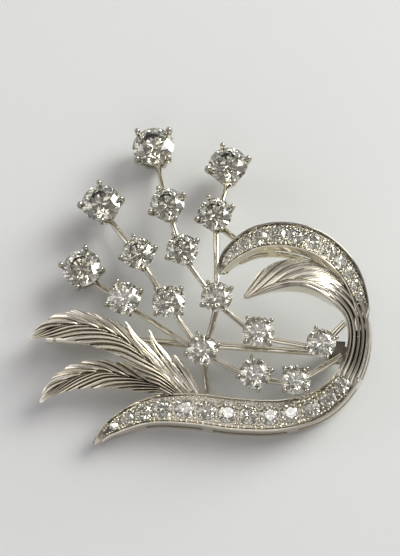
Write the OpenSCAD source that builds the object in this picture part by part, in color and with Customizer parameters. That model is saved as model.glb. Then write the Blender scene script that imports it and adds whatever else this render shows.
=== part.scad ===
// Spray brooch: sixteen claw set brilliants on wire stems, rising out of a pavé ribbon that
// scrolls round on the right and ends in two leaves, with two feather fronds on the left.
// The brooch lies on its back: +X to the right, +Y up its face, +Z out of its face.

/* [Ribbon] */
// Thickness of the side walls
wall_thick = 0.45; // [0.35:0.05:0.6]
// Thickness of the top plate that carries the stones
plate_thick = 0.95; // [0.8:0.05:1.2]
// Width of the polished rim on each side of the stones
rim_w = 0.36; // [0.25:0.01:0.45]
// Depth of the bed between the rims
bed_depth = 0.22; // [0.15:0.01:0.3]
// Height of the long slots that pierce the side walls
slot_h = 0.85; // [0.6:0.05:1]
// Depth of the flutes along the plain stretch
flute_depth = 0.3; // [0.15:0.05:0.4]

/* [Small stones] */
// Share of the bed's width that a small stone fills
pave_fill = 0.9; // [0.75:0.01:0.92]
// Largest girdle diameter of the small stones
pave_max_d = 2.2; // [1.6:0.05:2.3]
// Space left between neighbouring small stones
pave_gap = 0.16; // [0.12:0.01:0.3]

/* [Fronds] */
// Radius of a barb where it leaves the midrib
barb_r = 0.42; // [0.35:0.01:0.5]
// Length of a barb along the midrib, in rows of the frond's table
barb_reach = 1.9; // [1.2:0.1:2.4]
// Fall of the frond's edges below its midrib, as a share of its half width
frond_dome = 0.45; // [0.2:0.05:0.6]

/* [Claw heads] */
// Radius of the claw wire
claw_r = 0.22; // [0.18:0.01:0.26]
// Radius of the bead at a claw's tip
bead_r = 0.33; // [0.28:0.01:0.36]
// Play between a stone and its seat
stone_play = 0.05; // [0.04:0.01:0.06]
// Radius of the stem wires
stem_r = 0.34; // [0.28:0.01:0.4]
// Lean of a head for each millimetre from the root of the spray
lean_per_mm = 0.5; // [0:0.05:0.7]

/* [Pin and catch] */
// Radius of the pin stem
pin_r = 0.45; // [0.4:0.01:0.5]
// Height of the pin's axis above the surface that the brooch lies on
pin_z = 1.6; // [1.5:0.05:1.9]
// Distance from the hinge to the point of the pin
pin_len = 28.8; // [28:0.1:29]

/* [Hidden] */
$fn = 32;
metal = [0.80, 0.79, 0.76];
gem = [0.93, 0.95, 0.95];
small = 0.01;

// Moves the whole brooch so that its box is centred on the origin
shift = [-0.06, -0.39, 0];

// Ribbon along the foot, up the right side and on into the inner leaf, from tip to tip
// [x, y, z of the top, width, wall depth, lean to the outside, rise of the middle]
BAND = [
    [-11.7, -17.6, 1.7, 0.5, 1.5, 0, 0],
    [-9.6, -15.7, 2.5, 1.9, 2.4, 0, 0],
    [-5.6, -14.0, 3.0, 3.0, 3.1, 0, 0],
    [-1.0, -13.8, 3.1, 3.6, 3.2, 0, 0],
    [4.0, -14.4, 3.1, 3.7, 3.2, 0, 0],
    [9.0, -14.5, 3.2, 3.5, 3.2, 0, 0],
    [13.4, -13.3, 3.7, 3.1, 3.0, 0, 0],
    [16.3, -10.6, 5.0, 2.7, 2.7, -4, 0.05],
    [17.5, -7.2, 6.4, 2.4, 2.6, -8, 0.1],
    [17.1, -4.0, 7.9, 2.5, 2.4, -8, 0.15],
    [15.0, -1.7, 9.3, 2.9, 2.1, -8, 0.25],
    [12.4, -0.3, 10.0, 3.2, 2.0, -6, 0.3],
    [9.9, -0.1, 10.1, 3.2, 1.9, -6, 0.3],
    [7.5, -0.8, 9.6, 2.6, 1.7, -4, 0.2],
    [4.9, -2.5, 8.6, 0.5, 1.1, 0, 0]];

// Upper leaf with its row of stones, from inside the band to its tip, with the same columns
PAVE_LEAF = [
    [17.7, -5.97, 6.9, 1.2, 2.0, 0, 0],
    [17.8, -3.1, 8.3, 1.8, 2.2, 4, 0],
    [16.2, 0.4, 10.0, 2.4, 2.4, 8, 0],
    [13.2, 2.9, 11.1, 2.8, 2.4, 8, 0],
    [9.6, 3.9, 11.5, 2.9, 2.4, 6, 0],
    [6.1, 3.6, 11.0, 2.6, 2.3, 4, 0],
    [3.4, 2.0, 10.0, 1.8, 2.0, 2, 0],
    [2.1, 0.1, 9.0, 0.5, 1.4, 0, 0]];
// Stations where the bed of the small stones begins and ends, on the ribbon and on the upper leaf
band_bed = [0.55, 6.75];
leaf_bed = [0.9, 6.6];
// Stations of the first small stone, and how far before the end of the bed or the leaf the last one may be
band_stones_from = 1.05;
leaf_stones_from = 1.2;
band_stones_margin = 0.15;
leaf_stones_margin = 0.6;
// Slots in the side walls: station of the first, length and pitch in stations, and the metal above them
slot_first = 1.83;
slot_len = 1.5;
slot_pitch = 1.75;
slot_roof = 0.35;
slots = 4;
// How far a slot's cutter reaches from the ribbon's middle
slot_reach = 3;
// Step between the ribbon's cross sections, in stations
ribbon_step = 0.25;
// Half side of a block that is larger than the brooch
beyond = 25;

// Seat of a small stone: its depth, how far its edge lies above the bed, and how far its cutter reaches up
seat_depth = 1.3;
seat_edge = 0.03;
seat_top = 0.3;

// Midribs of the fronds, from the root on the band to the tip
// [x, y, z, half width towards the spray, half width towards the foot]
FROND_UPPER = [
    [-2.5, -11.8, 3.6, 1.0, 1.0],
    [-4.0, -10.2, 4.6, 1.3, 1.4],
    [-5.9, -8.6, 5.3, 1.4, 1.7],
    [-8.2, -6.7, 5.8, 1.4, 1.8],
    [-11.0, -5.4, 6.1, 1.5, 2.0],
    [-14.0, -4.9, 6.0, 1.7, 1.7],
    [-16.6, -5.3, 5.5, 1.2, 1.0],
    [-18.9, -6.3, 4.8, 0.1, 0.1]];
FROND_LOWER = [
    [-3.4, -11.7, 3.55, 0.8, 0.7],
    [-5.6, -11.0, 3.8, 1.2, 1.1],
    [-8.1, -10.3, 3.9, 1.5, 1.4],
    [-10.9, -9.8, 4.0, 1.4, 1.7],
    [-13.6, -10.3, 3.8, 1.5, 1.4],
    [-15.8, -11.4, 3.3, 1.2, 0.8],
    [-17.7, -13.0, 2.5, 0.1, 0.1]];

// Barbs on each side of a frond, and the rows at its tip that have none
barbs_upper = 10;
barbs_lower = 9;
bare_tip = 0.9;
// Bend of a barb away from the midrib, and the share of its radius that it loses to its tip
barb_curve = 1.4;
barb_taper = 0.75;
// Radius of the midrib at its root, and what it loses to the tip, as shares of a barb's radius
midrib_root = 1.15;
midrib_taper = 0.9;
// Two strands sheathe a frond's root: their place as a share of its half width, their first and last row,
// their radius at the root and what it loses at each row, as shares of a barb's radius
sheath_share = 0.55;
sheath_from = 0.4;
sheath_to = 3.4;
sheath_root = 1.25;
sheath_taper = 0.3;
// Step between the points of a frond's wires, in rows
wire_step = 0.5;
// Pad between the catch's post and the upper frond
pad = [2.4, 1.2, 1.6];
// Turn of the wires' flats about the vertical, in degrees, so that no two wires' flats lie in one plane
midrib_turn = 18;
sheath_turn = 19;
barb_turn_by_side = 21;
barb_turn_by_station = 21;

// Claw heads [x, y, z of the girdle, girdle radius, turn of the claws]
HEADS = [
    [-5.2, 16.2, 3.65, 2.35, 45],
    [3.2, 13.75, 4.6, 2.2, 15],
    [-11.0, 9.45, 4.2, 2.2, 5],
    [-3.6, 8.75, 6.2, 1.95, 28],
    [1.7, 7.45, 6.9, 1.95, 20],
    [-13.1, 2.05, 3.7, 2.2, -10],
    [-6.8, 3.25, 5.7, 1.85, 15],
    [-1.9, 3.35, 7.0, 1.8, 30],
    [-8.4, -1.75, 5.3, 1.9, 20],
    [-3.4, -2.35, 6.1, 1.85, 45],
    [1.9, -2.15, 7.4, 1.75, 30],
    [6.5, -6.05, 7.4, 1.75, 40],
    [0.3, -7.75, 5.8, 1.75, 15],
    [13.4, -7.25, 6.9, 1.65, 20],
    [6.1, -10.45, 5.7, 1.75, 10],
    [10.6, -11.25, 6.2, 1.65, 45]];

// Heads and stems of the two sprays, by the number of the head
UPPER_HEADS = [1, 2, 4, 5, 8, 11, 12, 14];
UPPER_STEMS = [[14, 12], [12, 11], [11, 5], [5, 2], [11, 8], [8, 4], [4, 1]];
LOWER_HEADS = [3, 6, 7, 9, 10, 13, 15, 16];
LOWER_STEMS = [[16, 15], [15, 13], [13, 10], [10, 7], [7, 3], [13, 9], [9, 6]];
// Struts from a head to the ribbon [head, x, y, z of the far end]
UPPER_STRUTS = [[14, 15.9, -4.8, 5.6], [5, 4.2, 4.1, 8.0], [11, 1.0, -6.1, 3.9]];
LOWER_STRUTS = [[16, 15.5, -8.3, 4.3], [13, 0.9, -11.9, 2.3]];
// The place that the stems fan out from
SPRAY_ROOT = [7, -10, 0];

// Shape of a brilliant, as shares of its girdle radius
crown_h = 0.3;
table_r = 0.56;
star_r = 0.77;
pavilion_h = 0.86;
low_r = 0.24;
// Thickness of a girdle
girdle_h = 0.06;
// Shape of a small stone, as shares of its girdle radius
small_table = 0.6;
small_crown = 0.26;
small_pavilion = 0.8;
// Height of the small stones' girdles in the ribbon's bed
girdle_v = -0.14;

// Shape of a claw head, as shares of the girdle radius
seat_low = 0.42;
seat_high = 0.14;
foot_low = 1.4;
foot_r = 0.52;
// Thickness of the foot's disc
foot_t = 0.35;
// Top of a claw and middle of its bead: distance beyond the girdle, and height above it
claw_beyond = 0.36;
claw_top_z = 0.15;
bead_beyond = 0.12;
bead_z = 0.37;

// Pin: where its hinge is, the way it points, and the length and end of its taper
hinge_at = [15.2, -7.2, pin_z];
pin_turn = 176.2;
tip_len = 3;
tip_r = 0.12;
// Rivet of the hinge, and the play of the pin's knuckle on it
rivet_r = 0.35;
rivet_head = 0.15;
running_play = 0.04;
// Knuckle of the pin between the two ears of the bracket
knuckle_r = 0.95;
knuckle_w = 1.0;
ear_t = 0.5;
ear_gap = 0.06;
ear_in = knuckle_w / 2 + ear_gap;
ear_out = ear_in + ear_t;
// Plate over the ears, and the post that stands on it inside the ribbon [distance, side, height]
bridge_z = 1.0;
bridge_t = 0.4;
bridge_len = 3.4;
bridge_w = 1.0;
bridge_post = [3.0, 1.0, 2.1];
// Fixed tube of the catch, its post, and the slot in its underside that lets the pin in
tube_start = 24.2;
tube_end = 31.2;
tube_r = 0.98;
tube_bore = 0.76;
post_x = 26.5;
post_h = 1.9;
post_base = [2, 0.9];
catch_slot_w = 1.1;
catch_slot_past = 1.6;
// Sliding tube with its knob, and the depth of its closed end
slide_start = 25.8;
slide_r = 0.72;
slide_bore = 0.54;
slide_end = 0.6;
knob_r = 1.05;
knob_at = 31.5;
knob_t = 0.8;
// How far the catch's post reaches into its tube, and the clearance above it
post_in = 0.12;
post_clear = 0.05;
catch_post_z = tube_r - post_in + post_h + post_clear;
catch_post = hinge_at + [post_x * cos(pin_turn), post_x * sin(pin_turn), catch_post_z];

function stone_name(i) = str("stone_", i < 10 ? "0" : "", i);
function unit(v) = v / norm(v);
function xyz(row) = [row[0], row[1], row[2]];
function flat(rows) = [for (row = rows) for (item = row) item];

// A smooth curve through the rows of a table, at station s counted in rows
function blend(a, b, c, d, t) =
    0.5 * (2 * b + (c - a) * t + (2 * a - 5 * b + 4 * c - d) * t * t + (3 * b - a - 3 * c + d) * t * t * t);
function last(table) = len(table) - 1;
function at(table, s) =
    let (i = min(floor(s), last(table) - 1))
    blend(table[max(i - 1, 0)], table[i], table[i + 1], table[min(i + 2, last(table))], s - i);
function ahead(table, s) =
    unit(xyz(at(table, min(s + 0.05, last(table)))) - xyz(at(table, max(s - 0.05, 0))));
function speed(table, s) = norm(xyz(at(table, s + 0.05)) - xyz(at(table, s - 0.05))) / 0.1;

// The ribbon's own axes at station s: forwards, out of the loop, and out of its face
function axes(table, s) =
    let (lean = at(table, s)[5], forward = ahead(table, s), out = unit(cross(forward, [0, 0, 1])))
    let (face = cross(out, forward))
    [forward, out * cos(lean) - face * sin(lean), face * cos(lean) + out * sin(lean)];
function on_ribbon(table, s, u, v) =
    let (a = axes(table, s)) xyz(at(table, s)) + a[1] * u + a[2] * v;
function place(table, s, v = 0) =
    let (a = axes(table, s), p = on_ribbon(table, s, 0, v))
    [for (k = [0:2]) [a[0][k], -a[1][k], a[2][k], p[k]]];

BAND_STONES = pave_row(BAND, band_stones_from, band_bed[1] - band_stones_margin);
LEAF_STONES = pave_row(PAVE_LEAF, leaf_stones_from, last(PAVE_LEAF) - leaf_stones_margin);

// Sweeps closed outlines of [u, v] points, one for each station, along a table's curve
module sweep(outlines, table, stations) {
    n = len(outlines[0]);
    m = len(stations);
    points = flat([for (k = [0:m - 1]) [for (q = outlines[k]) on_ribbon(table, stations[k], q[0], q[1])]]);
    sides = flat([for (k = [0:m - 2]) [for (j = [0:n - 1])
        [k * n + j, k * n + (j + 1) % n, (k + 1) * n + (j + 1) % n, (k + 1) * n + j]]]);
    start_face = [for (j = [n - 1:-1:0]) j];
    end_face = [for (j = [0:n - 1]) (m - 1) * n + j];
    polyhedron(points = points, faces = concat([start_face], sides, [end_face]), convexity = 6);
}

// The ribbon's cross section: two walls under a plate, open below, with a bed or flutes along its top
function top_bed(row) =
    let (half = row[3] / 2, rim = min(rim_w, row[3] * 0.2), floor_u = half - rim - 0.05)
    [[half, 0], [half - rim, 0], [floor_u, -bed_depth], [0, -bed_depth],
     [-floor_u, -bed_depth], [rim - half, 0], [-half, 0]];
function top_flutes(row) =
    let (half = row[3] / 2, rise = row[6], deep = min(flute_depth, row[3] * 0.15))
    [[half, 0], [half * 0.66, rise * 0.6 - deep], [half * 0.33, rise], [0, rise - deep],
     [-half * 0.33, rise], [-half * 0.66, rise * 0.6 - deep], [-half, 0]];
function walls(row) =
    let (half = row[3] / 2, depth = row[4])
    let (wall = min(wall_thick, row[3] * 0.3), plate = min(plate_thick, depth * 0.5))
    [[-half, -depth], [wall - half, -depth], [wall - half, -plate], [half - wall, -plate],
     [half - wall, -depth], [half, -depth]];
function channel(row, bedded) = concat(walls(row), bedded ? top_bed(row) : top_flutes(row));
function stations(a, b, step) = [for (s = [a:step:b]) s];
module ribbon(table, bed) {
    s = stations(0, last(table), ribbon_step);
    sweep([for (q = s) channel(at(table, q), q > bed[0] && q < bed[1])], table, s);
}

// The row of small stones along a ribbon, as [station, girdle diameter]
function pave_d(table, s) = min(pave_max_d, (at(table, s)[3] - 2 * rim_w) * pave_fill);
function pave_row(table, s, stop) =
    let (d = pave_d(table, s), near = s + (d + pave_gap) / speed(table, s))
    let (pitch = (d + pave_d(table, near)) / 2 + pave_gap)
    s > stop ? [] : concat([[s, d]], pave_row(table, s + pitch / speed(table, s), stop));

module seats(table, row)
    for (stone = row)
        multmatrix(place(table, stone[0]))
            rotate_extrude($fn = 8)
                seat_outline(stone[1] / 2 + stone_play);
module seat_outline(r)
    polygon([[0, -seat_depth], [r * 0.2, -seat_depth], [r, seat_edge - bed_depth],
        [r, seat_top], [0, seat_top]]);

// One of the long slots through both side walls, hulled in steps so that it follows the curve
module slot(table, a) {
    step = slot_len / 3;
    for (s = [a:step:a + slot_len - step])
        hull() {
            gate(table, s);
            gate(table, s + step);
        }
}
module gate(table, s)
    multmatrix(place(table, s))
        translate([0, -slot_reach, -plate_thick - slot_roof - slot_h])
            cube([small, 2 * slot_reach, slot_h]);

module scroll_band()
    color(metal)
        translate(shift)
            difference() {
                union() {
                    difference() {
                        ribbon(BAND, band_bed);
                        for (k = [0:slots - 1])
                            slot(BAND, slot_first + k * slot_pitch);
                        translate([-beyond, -beyond, -2])
                            cube([2 * beyond, 2 * beyond, 2]);
                    }
                    ribbon(PAVE_LEAF, leaf_bed);
                }
                seats(BAND, BAND_STONES);
                seats(PAVE_LEAF, LEAF_STONES);
            }

// A barb leaves the midrib at station s and runs out to the frond's edge, on the spray's side or the foot's
function frond_point(table, s, share) =
    let (row = at(table, s), out = unit(cross(ahead(table, s), [0, 0, 1])))
    let (half = share > 0 ? row[3] : row[4])
    xyz(row) + out * share * half - [0, 0, frond_dome * share * share * half];
module strand(points, radii, turn)
    for (i = [0:len(points) - 2])
        hull()
            for (k = [i, i + 1])
                translate(points[k])
                    rotate([0, 0, turn])
                        sphere(radii[k], $fn = 5);
module barb(table, s, side) {
    reach = [for (q = [0:0.25:1]) q];
    stop = min(s + barb_reach, last(table));
    turn = barb_turn_by_station * s + barb_turn_by_side * side;
    strand([for (q = reach) frond_point(table, s + (stop - s) * q, side * pow(q, barb_curve))],
        [for (q = reach) barb_r * (1 - barb_taper * pow(q, 3))], turn);
}
module frond(table, barbs) {
    ribs = stations(0, last(table), wire_step);
    strand([for (s = ribs) frond_point(table, s, 0)],
        [for (s = ribs) barb_r * (midrib_root - midrib_taper * s / last(table))], midrib_turn);
    sheath = stations(sheath_from, sheath_to, wire_step);
    for (side = [-1, 1]) {
        strand([for (s = sheath) frond_point(table, s, side * sheath_share)],
            [for (s = sheath) barb_r * (sheath_root - sheath_taper * s)], sheath_turn * side);
        for (i = [0:barbs - 1])
            barb(table, (last(table) - bare_tip) * i / barbs, side);
    }
}
module feather_fronds()
    color(metal)
        translate(shift)
            union() {
                frond(FROND_UPPER, barbs_upper);
                frond(FROND_LOWER, barbs_lower);
                translate(catch_post - [pad.x / 2, pad.y / 2, 0])
                    cube(pad);
            }

// Claw heads and stems
function head_xyz(i) = xyz(HEADS[i - 1]);
function head_r(i) = HEADS[i - 1][3];
function head_dir(i) = let (p = head_xyz(i) - SPRAY_ROOT) atan2(p.y, p.x);
function head_lean(i) = let (p = head_xyz(i) - SPRAY_ROOT) lean_per_mm * norm([p.x, p.y]);
function head_face(i) =
    let (d = head_dir(i), t = head_lean(i)) [sin(t) * cos(d), sin(t) * sin(d), cos(t)];
function head_foot(i) = head_xyz(i) - head_face(i) * head_r(i) * foot_low;
module at_head(i)
    translate(shift + head_xyz(i))
        rotate([0, 0, head_dir(i)])
            rotate([0, head_lean(i), 0])
                rotate([0, 0, HEADS[i - 1][4] - head_dir(i)])
                    children();
module rod(a, b, r) {
    d = b - a;
    translate(a)
        rotate([0, acos(d.z / norm(d)), atan2(d.y, d.x)])
            cylinder(h = norm(d), r = r);
}

// Radius of a claw's axis at height z, and of the pavilion with its play
function claw_out(r, z) =
    let (top = claw_top(r), foot = foot_r * r)
    foot + (top[0] - foot) * (z + foot_low * r) / (top[1] + foot_low * r);
function claw_top(r) = [r + claw_beyond, claw_top_z];
function pavilion_out(r, z) = r + z / pavilion_h + 1.5 * stone_play;
module head(i) {
    r = head_r(i);
    foot_z = -foot_low * r;
    low = -seat_low * r;
    high = -seat_high * r;
    root = [claw_out(r, foot_z + 0.1), 0, foot_z + 0.1];
    top = [claw_top(r)[0], 0, claw_top(r)[1]];
    at_head(i) {
        rotate_extrude()
            polygon([[pavilion_out(r, low), low], [claw_out(r, low), low],
                [claw_out(r, high), high], [pavilion_out(r, high), high]]);
        translate([0, 0, foot_z])
            cylinder(h = foot_t, r = foot_r * r + 0.05);
        for (turn = [0:90:270])
            rotate([0, 0, turn]) {
                rod(root, top, claw_r);
                translate(top)
                    sphere(claw_r + 0.02);
                translate([r + bead_beyond, 0, bead_z])
                    sphere(bead_r);
            }
    }
    translate(shift + head_foot(i))
        sphere(stem_r + 0.1);
}
// Wires that meet at a foot lie a little above or below each other
function stem_end(i, side) = shift + head_foot(i) + [0, 0, 0.09 * side];
module strut(row, r)
    rod(stem_end(row[0], 0), shift + [row[1], row[2], row[3]], r);
module spray(heads, stems, struts)
    color(metal) {
        for (i = heads)
            head(i);
        for (k = [0:len(stems) - 1])
            rod(stem_end(stems[k][0], 1), stem_end(stems[k][1], -1), stem_r * (1 - 0.03 * k));
        for (k = [0:len(struts) - 1])
            strut(struts[k], stem_r * (1.08 + 0.05 * k));
    }
module spray_upper() spray(UPPER_HEADS, UPPER_STEMS, UPPER_STRUTS);
module spray_lower() spray(LOWER_HEADS, LOWER_STEMS, LOWER_STRUTS);

// A ring of n points, and the facets of the cut stones
function ring(n, r, z, turn = 0) =
    [for (k = [0:n - 1]) let (a = turn + k * 360 / n) [r * cos(a), r * sin(a), z]];
module brilliant(r) {
    half = 22.5;
    star_z = crown_h * r * (1 - star_r * cos(half)) / (1 - table_r);
    low_z = -pavilion_h * r * (1 - low_r * cos(half));
    points = concat(ring(8, table_r * r, crown_h * r), ring(8, star_r * r, star_z, half),
        ring(16, r, 0), ring(16, r, -girdle_h), ring(8, low_r * r, low_z - girdle_h, half),
        [[0, 0, -pavilion_h * r - girdle_h]]);
    polyhedron(points = points, convexity = 2, faces = concat(
        [[7, 6, 5, 4, 3, 2, 1, 0]],
        [for (k = [0:7]) [k, (k + 1) % 8, 8 + k]],
        [for (k = [0:7]) [k, 8 + k, 16 + 2 * k, 8 + (k + 7) % 8]],
        [for (k = [0:7]) [8 + k, 17 + 2 * k, 16 + 2 * k]],
        [for (k = [0:7]) [8 + k, 16 + (2 * k + 2) % 16, 17 + 2 * k]],
        [for (k = [0:15]) [16 + k, 16 + (k + 1) % 16, 32 + (k + 1) % 16, 32 + k]],
        [for (k = [0:7]) [48 + k, 32 + 2 * k, 33 + 2 * k]],
        [for (k = [0:7]) [48 + k, 33 + 2 * k, 32 + (2 * k + 2) % 16]],
        [for (k = [0:7]) [56, 48 + (k + 7) % 8, 32 + 2 * k, 48 + k]]));
}
module small_cut(r) {
    points = concat(ring(8, small_table * r, small_crown * r), ring(8, r, 0), ring(8, r, -girdle_h),
        [[0, 0, -small_pavilion * r - girdle_h]]);
    polyhedron(points = points, convexity = 2, faces = concat(
        [[7, 6, 5, 4, 3, 2, 1, 0]],
        [for (k = [0:7]) [k, (k + 1) % 8, 8 + (k + 1) % 8, 8 + k]],
        [for (k = [0:7]) [8 + k, 8 + (k + 1) % 8, 16 + (k + 1) % 8, 16 + k]],
        [for (k = [0:7]) [16 + k, 16 + (k + 1) % 8, 24]]));
}
module stone(i)
    color(gem)
        at_head(i)
            brilliant(head_r(i));
module pave(table, row)
    color(gem)
        translate(shift)
            for (stone = row)
                multmatrix(place(table, stone[0], girdle_v))
                    small_cut(stone[1] / 2);
module pave_band_stones() pave(BAND, BAND_STONES);
module pave_leaf_stones() pave(PAVE_LEAF, LEAF_STONES);

// Everything on the pin's line: +x runs from the hinge to the catch
module on_pin()
    color(metal)
        translate(shift + hinge_at)
            rotate([0, 0, pin_turn])
                children();
module across(y0, y1, r)
    translate([0, y1, 0])
        rotate([90, 0, 0])
            cylinder(h = y1 - y0, r = r);
module lengthwise(x0, x1, r1, r2)
    translate([x0, 0, 0])
        rotate([0, 90, 0])
            cylinder(h = x1 - x0, r1 = r1, r2 = r2);
module hinge_bracket()
    on_pin() {
        across(-ear_out - rivet_head, ear_out + rivet_head, rivet_r);
        for (y = [-ear_out, ear_in]) {
            across(y, y + ear_t, knuckle_r);
            translate([-knuckle_r, y, 0])
                cube([2 * knuckle_r, ear_t, bridge_z + bridge_t / 2]);
        }
        translate([-knuckle_r, -ear_out, bridge_z])
            cube([2 * knuckle_r, 2 * ear_out, bridge_t]);
        translate([-bridge_len, -bridge_w / 2, bridge_z])
            cube([bridge_len, bridge_w, bridge_t]);
        translate([-bridge_post[0], -bridge_post[1] / 2, bridge_z])
            cube([bridge_post[1], bridge_post[1], bridge_post[2]]);
    }
module pin_stem()
    on_pin()
        difference() {
            union() {
                across(-knuckle_w / 2, knuckle_w / 2, knuckle_r);
                lengthwise(knuckle_r - 0.3, pin_len - tip_len, pin_r, pin_r);
                lengthwise(pin_len - tip_len, pin_len, pin_r, tip_r);
            }
            across(-knuckle_w, knuckle_w, rivet_r + running_play);
        }
module catch_tube()
    on_pin() {
        difference() {
            lengthwise(tube_start, tube_end, tube_r, tube_r);
            lengthwise(tube_start - 1, tube_end + 1, tube_bore, tube_bore);
            translate([tube_start - 1, -catch_slot_w / 2, -2])
                cube([pin_len + catch_slot_past - tube_start, catch_slot_w, 2]);
        }
        translate([post_x - post_base.x / 2, -post_base.y / 2, tube_r - post_in])
            cube([post_base.x, post_base.y, post_h]);
    }
module catch_slide()
    on_pin() {
        difference() {
            lengthwise(slide_start, knob_at + small, slide_r, slide_r);
            lengthwise(slide_start - 1, knob_at - slide_end, slide_bore, slide_bore);
        }
        lengthwise(knob_at, knob_at + knob_t, knob_r, knob_r);
    }

scroll_band();
feather_fronds();
spray_upper();
spray_lower();
for (i = [1:16])
    stone(i);
pave_band_stones();
pave_leaf_stones();
hinge_bracket();
pin_stem();
catch_tube();
catch_slide();
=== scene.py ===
# %% [markdown]
# A spray brooch, dressed on its frame
#
# The brooch has sixteen claw set brilliants on wire stems, a ribbon of white gold that scrolls round them
# with small stones sunk in it, and two feather fronds. The frame comes from the part's own source: it holds
# every piece at its real size. This script gives the metal and the stones their finish, and models again
# what needs a finer shape than the frame has: the ribbon, the fronds, the claws and the grains.

# %% Load the frame
import math

import bmesh
import bpy
from mathutils import Matrix, Vector


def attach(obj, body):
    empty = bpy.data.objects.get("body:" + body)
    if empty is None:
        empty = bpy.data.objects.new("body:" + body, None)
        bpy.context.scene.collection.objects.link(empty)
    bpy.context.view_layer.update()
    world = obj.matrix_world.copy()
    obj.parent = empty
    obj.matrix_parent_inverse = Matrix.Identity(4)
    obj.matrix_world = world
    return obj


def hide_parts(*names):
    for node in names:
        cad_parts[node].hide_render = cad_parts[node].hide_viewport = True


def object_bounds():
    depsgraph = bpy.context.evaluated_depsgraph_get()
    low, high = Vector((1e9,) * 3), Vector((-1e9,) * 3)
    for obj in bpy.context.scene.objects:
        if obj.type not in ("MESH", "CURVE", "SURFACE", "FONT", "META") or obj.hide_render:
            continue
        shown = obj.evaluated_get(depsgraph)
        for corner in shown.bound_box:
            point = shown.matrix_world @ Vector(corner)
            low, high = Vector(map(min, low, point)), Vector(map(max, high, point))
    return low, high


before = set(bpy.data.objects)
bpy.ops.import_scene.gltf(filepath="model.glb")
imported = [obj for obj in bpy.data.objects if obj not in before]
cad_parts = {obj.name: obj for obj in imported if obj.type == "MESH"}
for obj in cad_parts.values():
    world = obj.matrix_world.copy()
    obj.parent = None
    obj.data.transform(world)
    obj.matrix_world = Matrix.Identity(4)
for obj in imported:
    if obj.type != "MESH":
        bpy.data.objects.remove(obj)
cad_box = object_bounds()
MM = 0.001
print("nodes", len(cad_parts), "box", cad_box)

# %% [markdown]
# The camera
#
# The camera is made first. It looks down at the brooch from 76 degrees above the table, as the photograph
# does, from 450 mm away, which keeps the small amount of perspective that the photograph has. The brooch's
# width in pixels sets its lens.

# %% Camera
CAMERA_ELEVATION = math.radians(76)
CAMERA_DISTANCE = 450 * MM
CAMERA_NEAREST = 10 * MM
AIM = Vector((0, 0.2, 5)) * MM
PICTURE_HEIGHT = 556
BROOCH_PIXELS = 344
SENSOR = 36

bpy.ops.object.select_all(action="DESELECT")
bpy.ops.object.camera_add(
    location=AIM + CAMERA_DISTANCE * Vector((0, -math.cos(CAMERA_ELEVATION), math.sin(CAMERA_ELEVATION))),
    rotation=(math.pi / 2 - CAMERA_ELEVATION, 0, 0),
)
camera = bpy.context.object
camera.name = "camera"
brooch_width = cad_box[1][0] - cad_box[0][0]
camera.data.sensor_width = SENSOR
camera.data.lens = SENSOR * BROOCH_PIXELS / PICTURE_HEIGHT * CAMERA_DISTANCE / brooch_width
camera.data.clip_start = CAMERA_NEAREST
bpy.context.scene.camera = camera
print("lens", round(camera.data.lens, 1), "mm")

# %% [markdown]
# Colours and shader nodes
#
# Colours are written as the sRGB hex values that a paint program shows, and one function turns them to the
# linear values that the shader needs. The others add a node with its inputs and settings, and the kinds of
# node that come back in several materials.


# %% Helpers for materials
def linear(hex_colour):
    """The linear colour of an sRGB hex value such as #d9d5cc"""
    parts = [int(hex_colour[i : i + 2], 16) / 255 for i in (1, 3, 5)]
    return [p / 12.92 if p <= 0.04045 else ((p + 0.055) / 1.055) ** 2.4 for p in parts] + [1.0]


def set_inputs(tree, node, inputs):
    """Sets a node's inputs, each to a plain value or to an output socket that is linked to it"""
    for name, value in inputs.items():
        if isinstance(value, bpy.types.NodeSocket):
            tree.links.new(value, node.inputs[name])
        else:
            node.inputs[name].default_value = value


def add_node(tree, kind, inputs, **settings):
    """Adds a node with its inputs and its other settings"""
    node = tree.nodes.new("ShaderNode" + kind)
    for name, value in settings.items():
        setattr(node, name, value)
    set_inputs(tree, node, inputs)
    return node


def noise(tree, size_mm, detail, roughness=0.5):
    """A soft random pattern on the object, with patches of about this size"""
    place = add_node(tree, "TexCoord", {}).outputs["Object"]
    inputs = {"Vector": place, "Scale": 1 / (size_mm * MM), "Detail": detail, "Roughness": roughness}
    return add_node(tree, "TexNoise", inputs).outputs["Fac"]


def bumped(tree, pattern, strength, depth_mm, under=None):
    """The surface's direction, bent by a pattern, on top of one that is bent already if there is any"""
    inputs = {"Height": pattern, "Strength": strength, "Distance": depth_mm * MM}
    if under is not None:
        inputs["Normal"] = under
    return add_node(tree, "Bump", inputs).outputs["Normal"]


def stretched(tree, value, old, new, edge="LINEAR"):
    """A value taken from its old range to a new one"""
    inputs = {"Value": value, "From Min": old[0], "From Max": old[1], "To Min": new[0], "To Max": new[1]}
    return add_node(tree, "MapRange", inputs, interpolation_type=edge).outputs["Result"]


def new_material(name):
    """A material with an empty principled shader, and its node tree"""
    material = bpy.data.materials.new(name)
    material.use_nodes = True
    shader = material.node_tree.nodes["Principled BSDF"]
    return material, material.node_tree, shader


# %% [markdown]
# White gold
#
# The metal is white gold, cast, polished and plated with rhodium. It is a metal, so its colour is its
# reflection, slightly warm. Polishing leaves soft ripples of about a millimetre and hairlines that are far
# finer; the ripples bend the reflections a little, and the hairlines are drawn coarser than they are,
# because real ones are too fine to show. Grooves get painted shade, a darker colour where ambient occlusion
# finds them hidden from the light, and so do the places where the mesh holds a painted shade value.

# %% Metals
# Colour of the painted shade that is mixed into the metal in grooves and where the mesh holds a painted shade
# value
PAINTED_SHADE_COLOUR = "#4a423a"
RIPPLE_STRENGTH, RIPPLE_DEPTH = 0.12, 0.15
HAIRLINE_DEPTH = 0.04
HAIRLINE_RANGE = (0.3, 0.7)
SHINIER, DULLER = 0.75, 1.35
GROOVE_REACH = 0.3
GROOVE_RANGE = (0.15, 0.7)
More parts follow.
